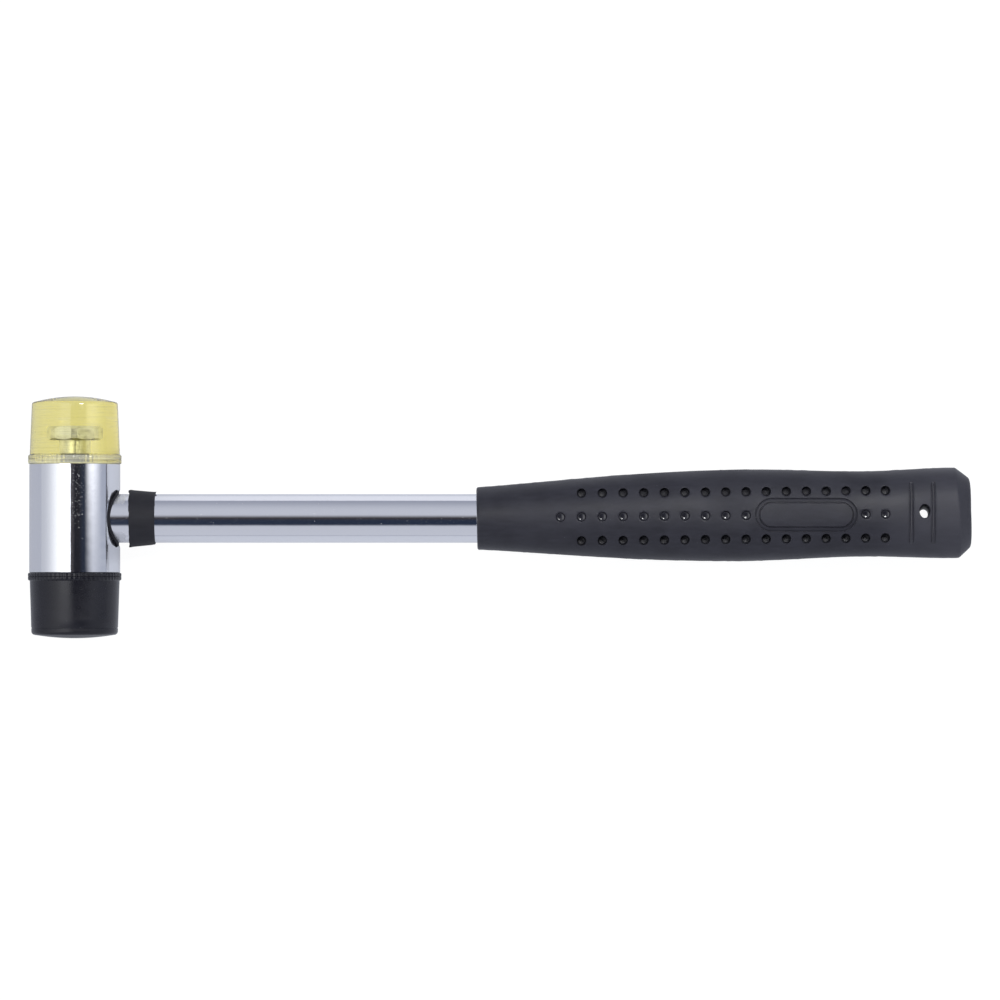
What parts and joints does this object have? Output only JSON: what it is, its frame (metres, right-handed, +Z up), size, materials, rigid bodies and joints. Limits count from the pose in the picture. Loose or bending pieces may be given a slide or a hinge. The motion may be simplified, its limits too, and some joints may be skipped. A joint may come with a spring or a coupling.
{
  "type": "soft face hammer",
  "caption": "Double-faced soft hammer: chromed barrel head on a tubular handle, with a clear yellow plastic face and a black rubber face that unscrew, and a dimpled rubber grip.",
  "frame": {"origin": "on the bench, below the middle of the outer box of the hammer lying on its side", "axes": "+X along the handle from the head to the butt, +Y along the head towards the yellow face, +Z up from the bench"},
  "size_m": [0.2596, 0.0666, 0.0257],
  "materials": {
    "chrome_plate": "bright chrome plate with fine pits",
    "plain_steel": "turned steel",
    "bolt_steel": "zinc plated",
    "clear_yellow": "clear yellow plastic, gloss",
    "face_rubber": "hard black rubber, satin",
    "seal_rubber": "black rubber, matt",
    "grip_rubber": "moulded dark grey rubber, matt"
  },
  "bodies": {
    "hammer": {"head_barrel": "chrome_plate", "yellow_end_plug": "plain_steel", "black_end_plug": "plain_steel", "socket_grommet": "seal_rubber", "handle_tube": "chrome_plate", "handle_collar": "seal_rubber", "grip": "grip_rubber"},
    "yellow_washer": {"yellow_lock_washer": "plain_steel"},
    "yellow_face_set": {"yellow_face": "clear_yellow", "yellow_face_bolt": "bolt_steel"},
    "black_washer": {"black_lock_washer": "plain_steel"},
    "black_face_set": {"black_face": "face_rubber", "black_face_bolt": "bolt_steel"}
  },
  "joints": [
    {"name": "yellow_face_travel", "type": "slide", "parent": "hammer", "child": "yellow_washer", "axis": [0, 1, 0], "range_m": [0, 0.008]},
    {"name": "yellow_face_turn", "type": "hinge", "parent": "yellow_washer", "child": "yellow_face_set", "pos_m": [-0.11697, 0.0147, 0.01285], "axis": [0, 1, 0], "range_deg": [0, 2880]},
    {"name": "black_face_travel", "type": "slide", "parent": "hammer", "child": "black_washer", "axis": [0, -1, 0], "range_m": [0, 0.008]},
    {"name": "black_face_turn", "type": "hinge", "parent": "black_washer", "child": "black_face_set", "pos_m": [-0.11697, -0.0153, 0.01285], "axis": [0, -1, 0], "range_deg": [0, 2880]}
  ],
  "couplings": [
    {"joint": "yellow_face_travel", "follows": "yellow_face_turn", "m_per_rad": 0.00015915},
    {"joint": "black_face_travel", "follows": "black_face_turn", "m_per_rad": 0.00015915}
  ]
}
